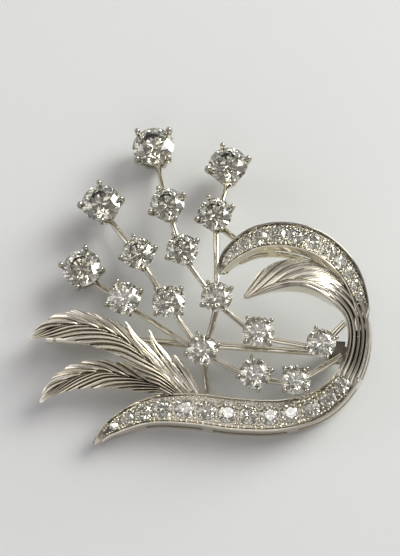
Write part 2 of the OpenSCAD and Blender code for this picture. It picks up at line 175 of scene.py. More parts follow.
# The colours of a mix node share their names with its plain numbers, so they are reached by their place
MIX_DARK, MIX_UNSHADED, MIX_RESULT = 6, 7, 2


def white_gold(name, colour, roughness, ripple_mm, hairline_mm, crevice_shade, stipple=0.08):
    """Worked metal; crevice_shade is how dark the painted shade in its grooves is, from 0 to 1, and stipple
    how strong its hairlines
    """
    material, tree, shader = new_material(name)
    ripples = noise(tree, ripple_mm, 2.0)
    hairlines = noise(tree, hairline_mm, 4.0, 0.6)
    rippled = bumped(tree, ripples, RIPPLE_STRENGTH, RIPPLE_DEPTH)
    reach = {"Distance": GROOVE_REACH * MM}
    # Painted shade: ambient occlusion darkens the colour in grooves, and the mesh's painted shade value
    # darkens it more
    shade = add_node(tree, "AmbientOcclusion", reach, samples=6, only_local=False)
    groove = stretched(tree, shade.outputs["AO"], GROOVE_RANGE, (1 - crevice_shade, 1.0))
    painted_shade = add_node(tree, "Attribute", {}, attribute_name="painted_shade").outputs["Fac"]
    unshaded_share = add_node(tree, "Math", {0: groove, 1: painted_shade}, operation="SUBTRACT", use_clamp=True)
    tones = {
        "Factor": unshaded_share.outputs["Value"],
        MIX_DARK: linear(PAINTED_SHADE_COLOUR),
        MIX_UNSHADED: linear(colour),
    }
    finish = {
        "Base Color": add_node(tree, "Mix", tones, data_type="RGBA").outputs[MIX_RESULT],
        "Roughness": stretched(tree, hairlines, HAIRLINE_RANGE, (roughness * SHINIER, roughness * DULLER)),
        "Normal": bumped(tree, hairlines, stipple, HAIRLINE_DEPTH, rippled),
        "Metallic": 1.0,
    }
    set_inputs(tree, shader, finish)
    return material


# Name, colour, roughness, ripples and hairlines in mm, darkness of the painted shade in grooves, strength of
# hairlines
polished =white_gold("polished_white_gold", "#eae4d3", 0.13, 1.1, 0.12, 0.5)
chased = white_gold("chased_white_gold", "#f3ecdb", 0.2, 0.8, 0.14, 0.75, 0.3)
bright_cut = white_gold("bright_cut_white_gold", "#f0e9d6", 0.1, 0.9, 0.1, 0.5)
# The claws are coloured darker than the rest of the metal: a painted dark reflection on their beads
claw_metal_painted_dark = white_gold("claw_white_gold_painted_dark", "#bab3a6", 0.08, 0.9, 0.1, 0.5)
# The hinge bracket is coloured dark: painted shade, for the shade that it lies in
hinge_metal_painted_dark = white_gold("hinge_white_gold_painted_shade", "#645d55", 0.22, 0.5, 0.15, 0.7, 0.3)

# %% [markdown]
# Cut diamond
#
# A brilliant is clear and bends light very strongly, so that light turns back inside it and each facet is
# either bright or dark. The facets are real faces of the mesh. A faint tint that changes from facet to facet
# gives the slight yellow and grey of old stones.

# %% Diamond
DIAMOND_INDEX = 2.417
TINT_SCALE = 3.0
DARKER_TINT_AT, LIGHTER_TINT_AT = 0.35, 0.6


def diamond(name, tints):
    """A clear stone; tints are the lightest and the darkest colour that its facets take"""
    material, tree, shader = new_material(name)
    normal = add_node(tree, "NewGeometry", {}).outputs["True Normal"]
    spread = add_node(tree, "TexNoise", {"Vector": normal, "Scale": TINT_SCALE, "Detail": 1.0})
    tint = add_node(tree, "ValToRGB", {"Fac": spread.outputs["Fac"]})
    darker, lighter = tint.color_ramp.elements
    darker.position = DARKER_TINT_AT
    darker.color = linear(tints[1])
    lighter.position = LIGHTER_TINT_AT
    lighter.color = linear(tints[0])
    finish = {
        "Base Color": tint.outputs["Color"],
        "Transmission Weight": 1.0,
        "IOR": DIAMOND_INDEX,
        "Roughness": 0.0,
    }
    set_inputs(tree, shader, finish)
    return material


brilliant_diamond = diamond("brilliant_cut_diamond", ("#fffdec", "#e6e0c2"))
pave_diamond = diamond("small_cut_diamond", ("#fffdec", "#e6dfc0"))

# %% [markdown]
# The brooch's measures
#
# These are the tables of the part's source, in millimetres; only the inner leaf leans a little differently,
# and the two small leaves are new. A ribbon or a frond is a curve through the rows of its table, so its shape
# is set by a few rows that can be read and changed.

# %% Measures
# What moves the tables' origin to the frame's
SHIFT = Vector((-0.06, -0.39, 0))
# Ribbon and upper leaf: [x, y, z of the top, width, wall depth, lean to the outside, rise of the middle]
BAND = [
    [-11.7, -17.6, 1.7, 0.5, 1.5, 0, 0],
    [-9.6, -15.7, 2.5, 1.9, 2.4, 0, 0],
    [-5.6, -14.0, 3.0, 3.0, 3.1, 0, 0],
    [-1.0, -13.8, 3.1, 3.6, 3.2, 0, 0],
    [4.0, -14.4, 3.1, 3.7, 3.2, 0, 0],
    [9.0, -14.5, 3.2, 3.5, 3.2, 0, 0],
    [13.4, -13.3, 3.7, 3.1, 3.0, 0, 0],
    [16.3, -10.6, 5.0, 2.7, 2.7, -4, 0.05],
    [17.5, -7.2, 6.4, 2.4, 2.6, -8, 0.1],
    [17.1, -4.0, 7.9, 2.5, 2.4, -5, 0.15],
    [15.0, -1.7, 9.3, 2.9, 2.1, 4, 0.25],
    [12.4, -0.3, 10.0, 3.2, 2.0, 6, 0.3],
    [9.9, -0.1, 10.1, 3.2, 1.9, 4, 0.3],
    [7.5, -0.8, 9.6, 2.6, 1.7, 0, 0.2],
    [4.9, -2.5, 8.6, 0.5, 1.1, 0, 0],
]
PAVE_LEAF = [
    [17.7, -5.97, 6.9, 1.2, 2.0, 0, 0],
    [17.8, -3.1, 8.3, 1.8, 2.2, 4, 0],
    [16.2, 0.4, 10.0, 2.4, 2.4, 8, 0],
    [13.2, 2.9, 11.1, 2.8, 2.4, 8, 0],
    [9.6, 3.9, 11.5, 2.9, 2.4, 6, 0],
    [6.1, 3.6, 11.0, 2.6, 2.3, 4, 0],
    [3.4, 2.0, 10.0, 1.8, 2.0, 2, 0],
    [2.1, 0.1, 9.0, 0.5, 1.4, 0, 0],
]
# Fronds and small leaves: [x, y, z of the midrib, half width towards the spray, half width towards the foot]
FROND_UPPER = [
    [-2.5, -11.8, 3.6, 1.0, 1.0],
    [-4.0, -10.2, 4.6, 1.3, 1.4],
    [-5.9, -8.6, 5.3, 1.4, 1.7],
    [-8.2, -6.7, 5.8, 1.4, 1.8],
    [-11.0, -5.4, 6.1, 1.5, 2.0],
    [-14.0, -4.9, 6.0, 1.7, 1.7],
    [-16.6, -5.3, 5.5, 1.2, 1.0],
    [-18.9, -6.3, 4.8, 0.1, 0.1],
]
FROND_LOWER = [
    [-3.4, -11.7, 3.55, 0.8, 0.7],
    [-5.6, -11.0, 3.8, 1.2, 1.1],
    [-8.1, -10.3, 3.9, 1.5, 1.4],
    [-10.9, -9.8, 4.0, 1.4, 1.7],
    [-13.6, -10.3, 3.8, 1.5, 1.4],
    [-15.8, -11.4, 3.3, 1.2, 0.8],
    [-17.7, -13.0, 2.5, 0.1, 0.1],
]
LEAF_MIDDLE = [
    [-0.9, -12.0, 3.2, 0.4, 0.4],
    [-2.2, -10.6, 4.0, 0.5, 0.5],
    [-3.6, -8.9, 4.8, 0.5, 0.55],
    [-4.8, -7.2, 5.3, 0.4, 0.45],
    [-5.6, -5.5, 5.5, 0.1, 0.1],
]
LEAF_SIDE = [
    [-1.8, -12.0, 3.4, 0.4, 0.4],
    [-3.4, -10.3, 4.4, 0.45, 0.5],
    [-5.3, -8.3, 5.4, 0.4, 0.5],
    [-7.0, -6.5, 6.0, 0.35, 0.4],
    [-8.2, -4.7, 6.1, 0.1, 0.1],
]
# Claw heads, from number 1: [x, y, z of the girdle, girdle radius, turn of the claws]
HEADS = [
    [-5.2, 16.2, 3.65, 2.35, 45],
    [3.2, 13.75, 4.6, 2.2, 15],
    [-11.0, 9.45, 4.2, 2.2, 5],
    [-3.6, 8.75, 6.2, 1.95, 28],
    [1.7, 7.45, 6.9, 1.95, 20],
    [-13.1, 2.05, 3.7, 2.2, -10],
    [-6.8, 3.25, 5.7, 1.85, 15],
    [-1.9, 3.35, 7.0, 1.8, 30],
    [-8.4, -1.75, 5.3, 1.9, 20],
    [-3.4, -2.35, 6.1, 1.85, 45],
    [1.9, -2.15, 7.4, 1.75, 30],
    [6.5, -6.05, 7.4, 1.75, 40],
    [0.3, -7.75, 5.8, 1.75, 15],
    [13.4, -7.25, 6.9, 1.65, 20],
    [6.1, -10.45, 5.7, 1.75, 10],
    [10.6, -11.25, 6.2, 1.65, 45],
]
# Stems join the heads in pairs, and a strut goes from a head to the point [x, y, z] that carries it
UPPER_HEADS = [1, 2, 4, 5, 8, 11, 12, 14]
UPPER_STEMS = [[14, 12], [12, 11], [11, 5], [5, 2], [11, 8], [8, 4], [4, 1]]
LOWER_HEADS = [3, 6, 7, 9, 10, 13, 15, 16]
LOWER_STEMS = [[16, 15], [15, 13], [13, 10], [10, 7], [7, 3], [13, 9], [9, 6]]
UPPER_STRUTS = [[14, 15.9, -4.8, 5.6], [5, 4.2, 4.1, 8.0], [11, 1.0, -6.1, 3.9]]
LOWER_STRUTS = [[16, 15.5, -8.3, 4.3], [13, 0.9, -11.9, 2.3]]
# The point from which the heads lean away, and by how many degrees for each mm of distance
SPRAY_ROOT = Vector((7, -10, 0))
LEAN_PER_MM = 0.5
# Stations where the beds of the small stones begin and end, and between which the stones themselves sit
BAND_BED = (0.55, 6.87)
LEAF_BED = (0.9, 6.6)
BAND_ROW = (1.05, 6.77)
LEAF_ROW = (1.2, 6.4)
# The small stones leave a rim free, fill a share of the bed between the rims, and keep a gap
RIM_WIDTH = 0.36
BED_DEPTH = 0.22
PAVE_FILL = 0.9
PAVE_GAP = 0.16
PAVE_LARGEST = 2.2
# How far to look along a curve, in stations, to tell where it goes
NEARBY = 0.05


# %% Curves through the tables
def row_at(table, station):
    """The row of a table at a station counted in rows, on a smooth curve through the rows"""
    last = len(table) - 1
    i = min(int(station), last - 1)
    rows = (table[max(i - 1, 0)], table[i], table[i + 1], table[min(i + 2, last)])
    t = station - i
    return [
        0.5 * (2 * b + (c - a) * t + (2 * a - 5 * b + 4 * c - d) * t**2 + (3 * b - a - 3 * c + d) * t**3)
        for a, b, c, d in zip(*rows)
    ]


def point_at(table, station):
    """The point of a table's curve, in mm"""
    return Vector(row_at(table, station)[:3])


def forward_at(table, station):
    """The direction in which a table's curve runs"""
    last = len(table) - 1
    ahead = point_at(table, min(station + NEARBY, last))
    return (ahead - point_at(table, max(station - NEARBY, 0))).normalized()


def speed_at(table, station):
    """Millimetres along the curve for each row of its table"""
    return (point_at(table, station + NEARBY) - point_at(table, station - NEARBY)).length / (2 * NEARBY)


def ribbon_axes(table, station):
    """Forwards, out of the loop, and out of the ribbon's face"""
    forward = forward_at(table, station)
    out = forward.cross(Vector((0, 0, 1))).normalized()
    face = out.cross(forward)
    lean = math.radians(row_at(table, station)[5])
    turned_out = out * math.cos(lean) - face * math.sin(lean)
    turned_face = face * math.cos(lean) + out * math.sin(lean)
    return forward, turned_out, turned_face


def on_ribbon(table, station, out_mm, up_mm):
    """A point on a ribbon, in metres"""
    _, out, face = ribbon_axes(table, station)
    return (point_at(table, station) + SHIFT + out * out_mm + face * up_mm) * MM


def ribbon_seat(table, station, up_mm=0.0):
    """The placing of something that sits on a ribbon, facing out of it"""
    forward, out, face = ribbon_axes(table, station)
    where = on_ribbon(table, station, 0, up_mm)
    turn = Matrix((forward, -out, face)).transposed().to_4x4()
    return Matrix.Translation(where) @ turn


def pave_width(table, station):
    """Diameter of a small stone at a station"""
    return min(PAVE_LARGEST, (row_at(table, station)[3] - 2 * RIM_WIDTH) * PAVE_FILL)


def pave_row(table, start, stop):
    """Stations and diameters of the small stones along a ribbon"""
    row = []
    station = start
    while station <= stop:
        width = pave_width(table, station)
        row.append((station, width))
        near = station + (width + PAVE_GAP) / speed_at(table, station)
        pitch = (width + pave_width(table, near)) / 2 + PAVE_GAP
        station += pitch / speed_at(table, station)
    return row


band_stones = pave_row(BAND, *BAND_ROW)
leaf_stones = pave_row(PAVE_LEAF, *LEAF_ROW)
print("small stones", len(band_stones), len(leaf_stones))


# %% Helpers for pieces
def select_only(*pieces):
    """Selects these pieces, with the first one active"""
    bpy.ops.object.select_all(action="DESELECT")
    for piece in pieces:
        piece.select_set(True)
    bpy.context.view_layer.objects.active = pieces[0]


def added(operator, **settings):
    """What one of Blender's operators adds when nothing is selected"""
    bpy.ops.object.select_all(action="DESELECT")
    operator(**settings)
    return bpy.context.object


def join(name, pieces):
    """Joins pieces into one object that is named and sits at the origin"""
    select_only(*pieces)
    if len(pieces) > 1:
        bpy.ops.object.join()
    piece = bpy.context.object
    bpy.ops.object.transform_apply(location=True, rotation=True, scale=True)
    piece.name = name
    piece.data.name = name
    return piece


def apply_modifiers(piece):
    """Turns a piece's modifiers into its mesh"""
    select_only(piece)
    for modifier in list(piece.modifiers):
        bpy.ops.object.modifier_apply(modifier=modifier.name)


def round_edges(piece, width_mm, segments):
    """A modifier that rounds a piece's sharp edges"""
    edges = piece.modifiers.new("edges", "BEVEL")
    edges.width = width_mm * MM
    edges.segments = segments
    return edges


WELD = 0.0005


def outward(piece):
    """Closes a piece's seams and turns every face of it outwards"""
    select_only(piece)
    bpy.ops.object.mode_set(mode="EDIT")
    bpy.ops.mesh.select_all(action="SELECT")
    bpy.ops.mesh.remove_doubles(threshold=WELD * MM)
    bpy.ops.mesh.normals_make_consistent(inside=False)
    bpy.ops.object.mode_set(mode="OBJECT")
    # a volume below zero tells that all the faces agree but look inwards
    mesh = bmesh.new()
    mesh.from_mesh(piece.data)
    if mesh.calc_volume(signed=True) < 0:
        bmesh.ops.reverse_faces(mesh, faces=mesh.faces)
        mesh.to_mesh(piece.data)
    mesh.free()


def smooth(piece, degrees=40):
    """Shades a piece smoothly but for the edges that are sharper than this"""
    select_only(piece)
    bpy.ops.object.shade_smooth_by_angle(angle=math.radians(degrees))


def finish_piece(piece, material, *nodes, slot_name="white_gold"):
    """Gives a piece its material, puts it on the brooch and lets it stand for its nodes"""
    piece.data.materials.clear()
    piece.data.materials.append(material)
    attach(piece, "brooch")
    if nodes:
        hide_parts(*nodes)
    print(piece.name, len(piece.data.polygons), "faces")


def shaped_grid(across, along, place, body=None, painted_shade=None):
    """
    A grid whose corners go to place(share across, share along). There body gives how thick it is, up to 1,
    and tarnish how dark.
    """
    sheet = added(bpy.ops.mesh.primitive_grid_add, x_subdivisions=across, y_subdivisions=along, size=2)
    shares = [((c.co.x + 1) / 2, (c.co.y + 1) / 2) for c in sheet.data.vertices]
    for corner, where in zip(sheet.data.vertices, shares):
        corner.co = place(*where)
    if body:
        group = sheet.vertex_groups.new(name="body")
        for k, where in enumerate(shares):
            group.add([k], body(*where), "REPLACE")
    if painted_shade:
        layer = sheet.data.attributes.new("painted_shade", "FLOAT", "POINT")
        layer.data.foreach_set("value", [painted_shade(*where) for where in shares])
    return sheet


def thicken_down(sheet, thickness):
    """Gives a grid its thickness straight down, less where its vertex group says so"""
    first = len(sheet.data.vertices)
    select_only(sheet)
    bpy.ops.object.mode_set(mode="EDIT")
    bpy.ops.mesh.select_all(action="SELECT")
    bpy.ops.mesh.extrude_region_move(TRANSFORM_OT_translate={"value": (0, 0, -thickness * MM)})
    bpy.ops.object.mode_set(mode="OBJECT")
    for corner in sheet.data.vertices[first:]:
        for body in corner.groups:
            corner.co.z += thickness * MM * (1 - body.weight)
    outward(sheet)


def bridge(a, b, x):
    """Goes smoothly from 0 to 1 as x goes from a to b"""
    t = min(max((x - a) / (b - a), 0), 1)
    return t * t * (3 - 2 * t)


def plateau(rise, fall, x):
    """Goes smoothly from 0 to 1 over the first stretch of x and back to 0 over the second"""
    return bridge(*rise, x) * (1 - bridge(*fall, x))


def rounded(near, reach):
    """Width of a round tip, as a share of the full width, at a distance from its end"""
    return math.sqrt(max(1 - max(1 - near / reach, 0) ** 2, 0.0)) if near < reach else 1.0


TIP_START = 0.002


def tip_share(table, station, reach):
    """Share of a ribbon's full width or depth near its two pointed ends"""
    return rounded(min(station, len(table) - 1 - station) + TIP_START, reach)


# %% [markdown]
# The ribbon
#
# The ribbon is one strip of metal: a bed for the small stones between two raised rims along the foot, then
# flutes up the right side, then the engraved inner leaf. Its top is a grid that is bent along the curve, with
# the rims, the bed and the flutes pressed into it, and then pulled straight down to give it its thickness. A
# thickness at right angles to each face would push the steep rims outwards and leave a ledge.

# %% Top of the ribbon
PLATE = 0.6
GRID_ACROSS = 80
TIP_REACH = 0.22
# The half round rims: width, height, how far their foot lies below the face, and fullness
RIM_BEAD = 0.27
RIM_HEIGHT = 0.28
RIM_FOOT = 0.16
RIM_FULLNESS = 0.7
BED_EDGE = 0.08
EDGE_EASE = (0.02, 0.2)
# Where a bed opens and closes, in stations from its first and its last one
BED_OPENS = (-0.2, 0.1)
BED_CLOSES = (-0.1, 0.3)
FLUTE_SHARPNESS = 1.5
# How dark the painted shade in the bed is; where it darkens and where the outer rim clears of it, in mm from
# the edge
BED_PAINTED_SHADE = 0.32
BED_DARKENS = (RIM_BEAD - 0.08, RIM_BEAD + 0.04)
RIM_CLEARS = (RIM_BEAD - 0.06, RIM_BEAD + 0.02)


def bed_height(edge_mm):
    """Height of a bed between half round rims, at a distance from the ribbon's edge"""
    if edge_mm < RIM_BEAD:
        return RIM_HEIGHT * math.sin(math.pi * edge_mm / RIM_BEAD) ** RIM_FULLNESS - RIM_FOOT
    return -RIM_FOOT - (BED_DEPTH - RIM_FOOT) * bridge(RIM_BEAD, RIM_BEAD + BED_EDGE, edge_mm)


def groove(share, count, depth):
    """Cuts between rounded flutes; share runs from 0 to 1 across them"""
    return -depth * (1 - abs(math.sin(math.pi * count * share))) ** FLUTE_SHARPNESS


def ribbon_top(name, table, bed, engraving, side_painted_shade, rim_painted_shade, steps):
    """
    The ribbon's top plate. Beyond its bed, engraving gives its height and side_painted_shade its painted
    shade; rim_painted_shade is the painted shade of the bed's outer rim.
    """
    last = len(table) - 1
    opens = [bed[0] + there for there in BED_OPENS]
    closes = [bed[1] + there for there in BED_CLOSES]

    # Painted shade: darker in the bed, on the bed's outer rim, and beyond the bed as the side asks
    def painted_shade(share, along):
        station = along * last
        width = row_at(table, station)[3]
        bedded = plateau(opens, closes, station)
        inside = BED_PAINTED_SHADE * bridge(*BED_DARKENS, min(share, 1 - share) * width)
        outer_rim = rim_painted_shade(station) * (1 - bridge(*RIM_CLEARS, (1 - share) * width))
        return (inside + outer_rim) * bedded + side_painted_shade(station, share) * (1 - bedded)

    def place(share, along):
        station = along * last
        row = row_at(table, station)
        width = row[3] * tip_share(table, station, TIP_REACH)
        edge = min(share, 1 - share) * width
        bedded = plateau(opens, closes, station)
        crown = row[6] * 4 * share * (1 - share)
        cut = engraving(station, share, width) * bridge(*EDGE_EASE, edge)
        height = bed_height(edge) * bedded + (crown + cut) * (1 - bedded)
        return on_ribbon(table, station, (share - 0.5) * width, height)

    sheet = shaped_grid(GRID_ACROSS, steps, place, painted_shade=painted_shade)
    sheet.name = name
    thicken_down(sheet, PLATE)
    return sheet


# %% Flutes and engraved cuts
FULL_WIDTH = 2.4
FLUTES = 5
FLUTE_DEPTH = 0.24
FLUTE_SWELL, FLUTE_WAVE = 0.08, 11
RAIL = 0.26
RAIL_CUT = 0.2
LEAF_RISE = 0.12
CUT_SLANT = 2.6
CUTS_PER_STATION = 1.1
CUT_DEPTH = 0.3
FINE_CUTS, FINE_CUT_DEPTH = 4, 0.06
CUT_SHALLOWEST = 0.25
# Stretches of stations: where the flutes run out, and where the leaf's cuts begin and reach their depth
FLUTES_END = (9.2, 10.6)
CUTS_BEGIN = (9.6, 10.8)
CUTS_DEEPEN = (11.0, 12.4)


def band_engraving(station, share, width):
    """Deep flutes up the right side, then the inner leaf: a rail of two beads and long cuts that fan out"""
    depth = min(1, width / FULL_WIDTH)
    flutes = groove(share, FLUTES, FLUTE_DEPTH) + FLUTE_SWELL * math.sin(FLUTE_WAVE * share)
    flutes *= depth * (1 - bridge(*FLUTES_END, station))
    leaf = bridge(*CUTS_BEGIN, station)
    if share < RAIL:
        return flutes + groove(share / RAIL, 2, RAIL_CUT * depth) * leaf
    over = (share - RAIL) / (1 - RAIL)
    cut = (station + CUT_SLANT * over) * CUTS_PER_STATION
    strong = CUT_SHALLOWEST + (1 - CUT_SHALLOWEST) * bridge(*CUTS_DEEPEN, station)
    cuts = groove(cut, 1, CUT_DEPTH * depth * strong) + groove(cut, FINE_CUTS, FINE_CUT_DEPTH * depth)
    return flutes + (cuts + LEAF_RISE) * leaf


# Painted shade and dark reflection on the flutes: of the outermost, what the others add, and of the line
# between them
OUTER_FLUTE, INNER_FLUTES, FLUTE_LINE = 0.1, 0.42, 0.5
OUTER_FLUTE_FROM = (0.78, 0.84)
LINE_AT, LINE_WIDTH = 0.79, 0.025
FLUTES_DARKEN, FLUTES_CLEAR = (6.9, 7.6), (9.3, 10.6)
# The inner leaf's root loses its painted shade in the grooves: a painted highlight
ROOT_PAINTED_HIGHLIGHT = 0.35
ROOT_FROM, ROOT_TO = (10.0, 10.8), (11.4, 12.6)
# Painted shade on the foot's outer rim, and where it begins
BAND_RIM_PAINTED_SHADE = 0.5
BAND_RIM_FROM = (4.6, 5.8)


def band_painted_shade(station, share):
    """Painted shade and dark reflection on the flutes up the right side, but for the outermost; at the inner
    leaf's root the painted shade is taken away, as a painted highlight
    """
    flutes = OUTER_FLUTE + INNER_FLUTES * (1 - bridge(*OUTER_FLUTE_FROM, share))
    flutes += FLUTE_LINE * math.exp(-(((share - LINE_AT) / LINE_WIDTH) ** 2))
    root = plateau(ROOT_FROM, ROOT_TO, station)
    return flutes * plateau(FLUTES_DARKEN, FLUTES_CLEAR, station) - ROOT_PAINTED_HIGHLIGHT * root


def band_rim_painted_shade(station):
    """Painted shade on the foot's outer rim, growing towards the right side"""
    return BAND_RIM_PAINTED_SHADE * bridge(*BAND_RIM_FROM, station)


LEAF_FLUTES, LEAF_FLUTE_DEPTH = 3, 0.1
# Painted shade on the upper leaf beside its bed, and a darker painted shade on its bed's outer rim
LEAF_PAINTED_SHADE = 0.15
LEAF_RIM_PAINTED_SHADE = 0.75
BAND_STEPS, LEAF_STEPS = 480, 220


def leaf_engraving(_, share, width):
    """Shallow flutes at the two ends of the upper leaf"""
    return groove(share, LEAF_FLUTES, LEAF_FLUTE_DEPTH * min(1, width))


band_tones = (band_painted_shade, band_rim_painted_shade)
band_top = ribbon_top("ribbon_top", BAND, BAND_BED, band_engraving, *band_tones, BAND_STEPS)
leaf_tones = (lambda station, share: LEAF_PAINTED_SHADE, lambda station: LEAF_RIM_PAINTED_SHADE)
leaf_top = ribbon_top("leaf_top", PAVE_LEAF, LEAF_BED, leaf_engraving, *leaf_tones, LEAF_STEPS)

# %% Seats of the small stones
SEAT_PLAY = 0.05
SEAT_EDGE = 0.03 - BED_DEPTH
SEAT_LOW = -1.3
SEAT_POINT = 0.2
DRILL_ABOVE = 0.4
# The upper leaf lies over the end of the ribbon, so the seats of its first stones go on into the ribbon
SHARED_SEATS = 3


def cut_seats(sheet, table, row):
    """Drills a cone shaped seat for each small stone"""
    top = SEAT_EDGE + DRILL_ABOVE
    drills = []
    for station, width in row:
        wide = width / 2 + SEAT_PLAY
        steep = (wide - SEAT_POINT * wide) / (SEAT_EDGE - SEAT_LOW)
        drill = added(
            bpy.ops.mesh.primitive_cone_add,
            vertices=24,
            radius1=SEAT_POINT * wide * MM,
            radius2=(wide + DRILL_ABOVE * steep) * MM,
            depth=(top - SEAT_LOW) * MM,
            location=(0, 0, (top + SEAT_LOW) / 2 * MM),
        )
        bpy.ops.object.transform_apply(location=True, rotation=False, scale=False)
        drill.matrix_world = ribbon_seat(table, station)
        drills.append(drill)
    drill = join("drill", drills)
    seats = sheet.modifiers.new("seats", "BOOLEAN")
    seats.operation = "DIFFERENCE"
    seats.solver = "MANIFOLD"
    seats.object = drill
    apply_modifiers(sheet)
    bpy.data.objects.remove(drill)
    smooth(sheet, 35)
    print(sheet.name, len(row), "seats,", len(sheet.data.polygons), "faces")


cut_seats(band_top, BAND, band_stones)
cut_seats(band_top, PAVE_LEAF, leaf_stones[:SHARED_SEATS])
cut_seats(leaf_top, PAVE_LEAF, leaf_stones)

# %% [markdown]
# The side walls
#
# Below its top the ribbon has two thin walls, pierced by long slots so that light reaches the stones, with a
# rail left along the bottom. Each wall is a grid. The faces where a slot goes are deleted before the wall is
# given its thickness, and the slot's edge is then rounded a little.

# %% Side walls
WALL = 0.42
WALL_ROWS = 14
WALL_TOP = 0.25
WALL_INSET = 0.02
WALL_ROUND = 0.06
WALL_THINNEST, WALL_THICKENS = 0.35, 1.2
# Depth of a wall at its pointed ends, and how far it takes to reach the depth in the table
WALL_SHALLOWEST, WALL_DEEPENS = 0.3, 0.9
PROUD_FROM = (0.3, 2)
# Share of the wall's depth over which its painted shade fades
TONE_FADES = (0.08, 0.4)
ALL_ALONG = (-1, 99)
# Stations where each slot begins and ends, and the shares of the wall's depth where all of them do
BAND_SLOTS = [(1.83, 3.33), (3.58, 5.08), (5.33, 6.83), (7.08, 8.58)]
LEAF_SLOTS = [(1.3, 2.7), (3.0, 4.4), (4.7, 6.1)]
SLOT_TOP, SLOT_BOTTOM = 0.42, 0.76
BAND_WALL_STEPS, LEAF_WALL_STEPS = 240, 130


def wall(table, side, slots, steps, painted_shade=0.0, dark_from_to=ALL_ALONG, proud=0.0, splay=0.0):
    """A side wall; proud is how far it stands out beyond the top, and splay how much further its foot does"""
    last = len(table) - 1

    def body(_, along):
        """Thinner towards the ribbon's pointed ends"""
        thick = bridge(0, WALL_THICKENS, min(along, 1 - along) * last)
        return WALL_THINNEST + (1 - WALL_THINNEST) * thick

    def place(share, along):
        station = along * last
        row = row_at(table, station)
        tip = tip_share(table, station, TIP_REACH)
        half = max(tip * row[3] / 2 - WALL * 0.5 * body(share, along) - WALL_INSET, 0.01)
        half += (proud * bridge(*PROUD_FROM, station) + splay * share) * tip
        deeper = (row[4] - WALL_SHALLOWEST) * tip_share(table, station, WALL_DEEPENS)
        depth = WALL_SHALLOWEST + deeper
        point = on_ribbon(table, station, side * half, -WALL_TOP - share * (depth - WALL_TOP))
        point.z = max(point.z, 0.0)
        return point

    def top_painted_shade(share, along):
        """Painted shade under the top's edge, between two stations"""
        first, final = dark_from_to
        there = plateau((first, first + 1), (final - 1, final), along * last)
        return painted_shade * there * (1 - bridge(*TONE_FADES, share))

    sheet = shaped_grid(WALL_ROWS, steps, place, body, top_painted_shade)
    mesh = bmesh.new()
    mesh.from_mesh(sheet.data)
    mesh.faces.ensure_lookup_table()
    holes = []
    for face in mesh.faces:
        # the grid's faces run along its first side, row by row
        along = (face.index // WALL_ROWS + 0.5) / steps * last
        share = (face.index % WALL_ROWS + 0.5) / WALL_ROWS
        if SLOT_TOP < share < SLOT_BOTTOM and any(a < along < b for a, b in slots):
            holes.append(face)
    bmesh.ops.delete(mesh, geom=holes, context="FACES")
    mesh.to_mesh(sheet.data)
    mesh.free()
    thick = sheet.modifiers.new("thickness", "SOLIDIFY")
    thick.thickness = WALL * MM
    thick.offset = 0
    thick.vertex_group = "body"
    round_edges(sheet, WALL_ROUND, 2).limit_method = "ANGLE"
    apply_modifiers(sheet)
    outward(sheet)
    smooth(sheet)
    return sheet


# Three of the walls hold painted shade under the top's edge
walls = [
    wall(BAND, -1, BAND_SLOTS, BAND_WALL_STEPS),
    wall(BAND, 1, BAND_SLOTS, BAND_WALL_STEPS, painted_shade=0.6, dark_from_to=(4.8, 10)),
    wall(PAVE_LEAF, -1, LEAF_SLOTS, LEAF_WALL_STEPS, painted_shade=0.15, splay=0.5),
    wall(PAVE_LEAF, 1, LEAF_SLOTS, LEAF_WALL_STEPS, painted_shade=0.75, proud=0.12),
]
finish_piece(join("ribbon_walls", walls), polished, "scroll_band")
finish_piece(band_top, polished)
finish_piece(leaf_top, polished)

# %% [markdown]
# The small stones and their grains
#
# Each small stone sits in a drilled seat and is held by grains: beads of metal that the setter raises from
# the bed with a graver and pushes over the stone's edge. One stone and one grain are modelled, then copied.


# %% Copies
def copies(model, places):
    """Copies of a piece, each with its own mesh, put where the places say"""
    made = []
    for place in places:
        copy = model.copy()
        copy.data = model.data.copy()
        copy.matrix_world = place
        bpy.context.scene.collection.objects.link(copy)
        made.append(copy)
    bpy.data.objects.remove(model)
    return made


def size_of(amount):
    """The placing that makes something so many times as large"""
    return Matrix.Scale(amount, 4)


def head_axes(number):
    """The placing of a claw head: its origin is the middle of the stone's girdle"""
    x, y, z, _, turn = HEADS[number - 1]
    middle = Vector((x, y, z))
    away = middle - SPRAY_ROOT
    direction = math.atan2(away.y, away.x)
    lean = math.radians(LEAN_PER_MM * math.hypot(away.x, away.y))
    return (
        Matrix.Translation((middle + SHIFT) * MM)
        @ Matrix.Rotation(direction, 4, "Z")
        @ Matrix.Rotation(lean, 4, "Y")
        @ Matrix.Rotation(math.radians(turn) - direction, 4, "Z")
    )


def head_radius(number):
    """Radius of the girdle in a claw head, in mm"""
    return HEADS[number - 1][3]


# %% Small stones
GIRDLE_HEIGHT = -0.1
SETTING_TILT = 6
# These stones of the foot face straight up but for this lean, so that they catch the light
BRIGHT_STONES = (0, 6, 8, 9)
BRIGHT_LEAN, BRIGHT_LEAN_CHANGE = 8, 2


def brilliant_model():
    """The frame's first brilliant, brought back to the origin and to a girdle radius of 1 m"""
    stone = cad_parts["stone_01"].copy()
    stone.data = stone.data.copy()
    stone.parent = None
    bpy.context.scene.collection.objects.link(stone)
    stone.data.transform(head_axes(1).inverted())
    stone.data.transform(size_of(1 / (head_radius(1) * MM)))
    for key in list(stone.keys()):
        del stone[key]
    return stone


